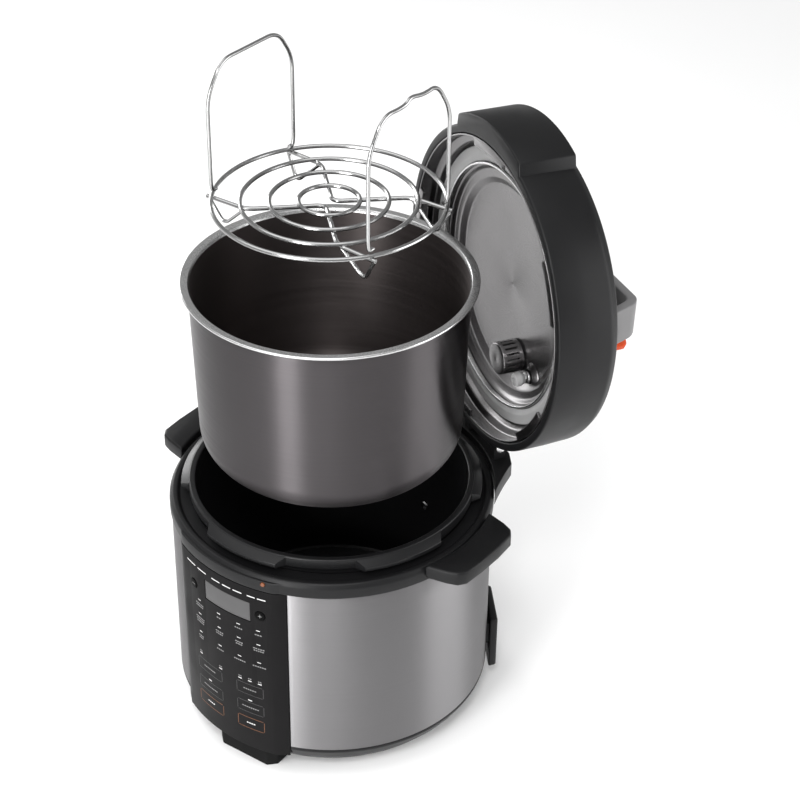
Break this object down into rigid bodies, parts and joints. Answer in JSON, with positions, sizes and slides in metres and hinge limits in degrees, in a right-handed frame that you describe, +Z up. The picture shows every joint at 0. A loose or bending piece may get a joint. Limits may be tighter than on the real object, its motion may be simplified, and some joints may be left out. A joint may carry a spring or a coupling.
{
  "type": "electric pressure cooker",
  "caption": "Round electric pressure cooker with a curved front control panel, a hinged lid standing open, and a lift-out inner pot and wire rack held above the base.",
  "frame": {"origin": "centre of the flat underside of the base's bottom cover, on the base's axis", "axes": "+Z up along the base's axis, -Y towards the control panel, +X towards the right side handle"},
  "size_m": [0.3735, 0.3869, 0.5985],
  "materials": {
    "black_plastic": "black, softly speckled moulded plastic",
    "panel_plastic": "dark charcoal, satin, with pale printed bars",
    "key_black": "glossy black",
    "display_grey": "mid grey display filter, glossy",
    "orange_plastic": "orange",
    "brushed_steel": "brushed round the body",
    "well_metal": "near-black coating, semi-gloss",
    "cast_aluminium": "cast, machined on top",
    "pot_metal": "dark spun metal, satin outside, dark coating inside",
    "wire_steel": "bright wire and small bright steel parts",
    "lid_metal": "satin pressed sheet",
    "handle_grey": "mid grey, satin",
    "silicone": "translucent pale silicone",
    "rubber_black": "black",
    "board_green": "green circuit board",
    "heater_steel": "dull heat-tinted sheath",
    "clear_plastic": "smoky, slightly see-through"
  },
  "bodies": {
    "base": {"bottom_cover": "black_plastic", "front_foot": "rubber_black", "rear_foot": "rubber_black", "foot_right_front": "rubber_black", "foot_right_rear": "rubber_black", "foot_left_rear": "rubber_black", "foot_left_front": "rubber_black", "bottom_screw_1": "wire_steel", "bottom_screw_2": "wire_steel", "bottom_screw_3": "wire_steel", "bottom_screw_4": "wire_steel", "steel_wrap": "brushed_steel", "upper_housing_ring": "black_plastic", "side_handle_right": "black_plastic", "side_handle_left": "black_plastic", "outer_pot": "well_metal", "well_rivet": "wire_steel", "heating_plate": "cast_aluminium", "heating_element": "heater_steel", "sensor_bracket": "wire_steel", "sensor_spring": "wire_steel", "pressure_switch": "key_black", "thermal_fuse": "silicone", "power_board": "board_green", "control_panel": "panel_plastic", "display_window": "display_grey", "indicator_lens": "orange_plastic", "control_board": "board_green", "display_module": "display_grey", "power_inlet": "black_plastic", "inlet_pin_line": "wire_steel", "inlet_pin_neutral": "wire_steel", "inlet_pin_earth": "wire_steel", "collector_bracket": "black_plastic"},
    "pot": {"inner_pot": "pot_metal"},
    "rack": {"rack_grid": "wire_steel"},
    "left_loop": {"rack_handle_left": "wire_steel"},
    "right_loop": {"rack_handle_right": "wire_steel"},
    "carrier": {"lid_carrier": "black_plastic", "hinge_pin": "wire_steel"},
    "lid": {"lid_shell": "black_plastic", "pressure_lid": "lid_metal", "sealing_ring": "silicone", "seal_rack": "wire_steel", "steam_pipe": "wire_steel", "lid_handle": "handle_grey", "handle_screw_left": "wire_steel", "handle_screw_right": "wire_steel"},
    "valve": {"steam_release_valve": "black_plastic", "valve_tip": "orange_plastic"},
    "float": {"float_valve": "wire_steel", "float_seal": "silicone"},
    "shield": {"anti_block_shield": "lid_metal"},
    "sensor": {"sensor_cap": "cast_aluminium"},
    "collector": {"condensation_collector": "clear_plastic"},
    "minus": {"minus_key": "key_black"},
    "plus": {"plus_key": "key_black"}
  },
  "joints": [
    {"name": "pot_lift", "type": "slide", "parent": "base", "child": "pot", "axis": [0, 0, 1], "range_m": [-0.189, 0]},
    {"name": "rack_lift", "type": "slide", "parent": "pot", "child": "rack", "axis": [0, 0, 1], "range_m": [-0.205, 0]},
    {"name": "left_loop_fold", "type": "hinge", "parent": "rack", "child": "left_loop", "pos_m": [-0.077, 0, 0.483], "axis": [0, -1, 0], "range_deg": [-80, 0]},
    {"name": "right_loop_fold", "type": "hinge", "parent": "rack", "child": "right_loop", "pos_m": [0.077, 0, 0.483], "axis": [0, -1, 0], "range_deg": [0, 80]},
    {"name": "lid_turn", "type": "hinge", "parent": "base", "child": "carrier", "pos_m": [0, 0, 0.2], "axis": [0, 0, 1], "range_deg": [0, 30]},
    {"name": "lid_hinge", "type": "hinge", "parent": "carrier", "child": "lid", "pos_m": [0.07018, 0.1266, 0.2208], "axis": [-0.8746, 0.4848, 0], "range_deg": [-10, 0]},
    {"name": "valve_turn", "type": "hinge", "parent": "lid", "child": "valve", "pos_m": [0.12152, 0.17386, 0.30629], "axis": [0.4845, 0.8741, -0.0349], "range_deg": [0, 40]},
    {"name": "float_rise", "type": "slide", "parent": "lid", "child": "float", "axis": [0.4845, 0.8741, -0.0349], "range_m": [0, 0.004]},
    {"name": "shield_pull", "type": "slide", "parent": "lid", "child": "shield", "axis": [0.4845, 0.8741, -0.0349], "range_m": [-0.015, 0]},
    {"name": "sensor_plunge", "type": "slide", "parent": "base", "child": "sensor", "axis": [0, 0, 1], "range_m": [-0.003, 0], "stiffness_N_per_m": 600, "springref_m": 0.003, "deforming": ["sensor_spring"]},
    {"name": "collector_pull", "type": "slide", "parent": "base", "child": "collector", "axis": [-0.4695, 0.8829, 0], "range_m": [0, 0.04]},
    {"name": "minus_key_press", "type": "slide", "parent": "base", "child": "minus", "axis": [-0.289, -0.9573, 0], "range_m": [-0.0008, 0], "stiffness_N_per_m": 1500, "springref_m": 0.0004},
    {"name": "plus_key_press", "type": "slide", "parent": "base", "child": "plus", "axis": [0.2351, -0.972, 0], "range_m": [-0.0008, 0], "stiffness_N_per_m": 1500, "springref_m": 0.0004}
  ]
}
